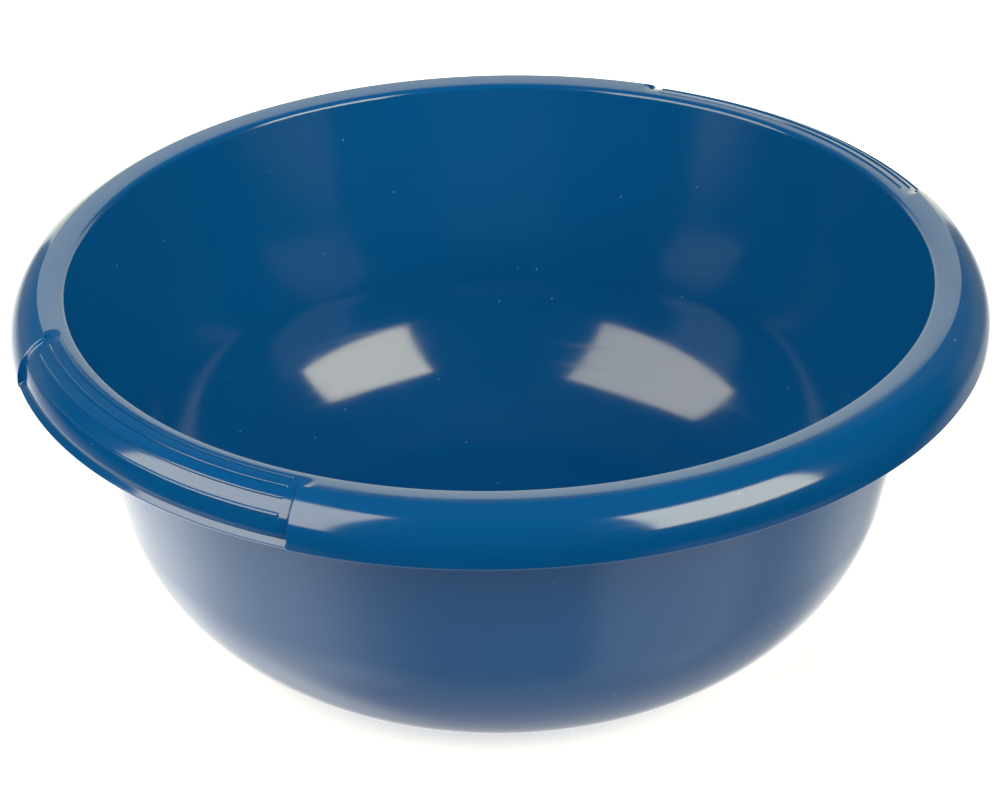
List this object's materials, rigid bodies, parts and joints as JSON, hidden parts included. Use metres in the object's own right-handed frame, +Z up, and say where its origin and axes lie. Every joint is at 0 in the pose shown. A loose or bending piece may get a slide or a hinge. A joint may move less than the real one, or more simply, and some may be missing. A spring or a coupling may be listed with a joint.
{
  "type": "washing up bowl",
  "caption": "Round glossy plastic washing up bowl with a turned-down rim, ribbed grips let into the rim on opposite sides and a flat base on a foot ring.",
  "frame": {"origin": "centre of the foot ring's resting plane, which is the bottom centre of the bounding box", "axes": "+Z up along the bowl's axis, X through the middle of both grips, Y through the middle of the smooth lengths of rim"},
  "size_m": [0.3596, 0.36, 0.1425],
  "materials": {
    "blue_plastic": "glossy moulded polypropylene"
  },
  "bodies": {
    "root": {"base_panel": "blue_plastic", "corner_ring": "blue_plastic", "heel_ring": "blue_plastic", "basin_wall": "blue_plastic", "rim_front": "blue_plastic", "rim_back": "blue_plastic", "grip_left": "blue_plastic", "grip_right": "blue_plastic"}
  },
  "joints": []
}
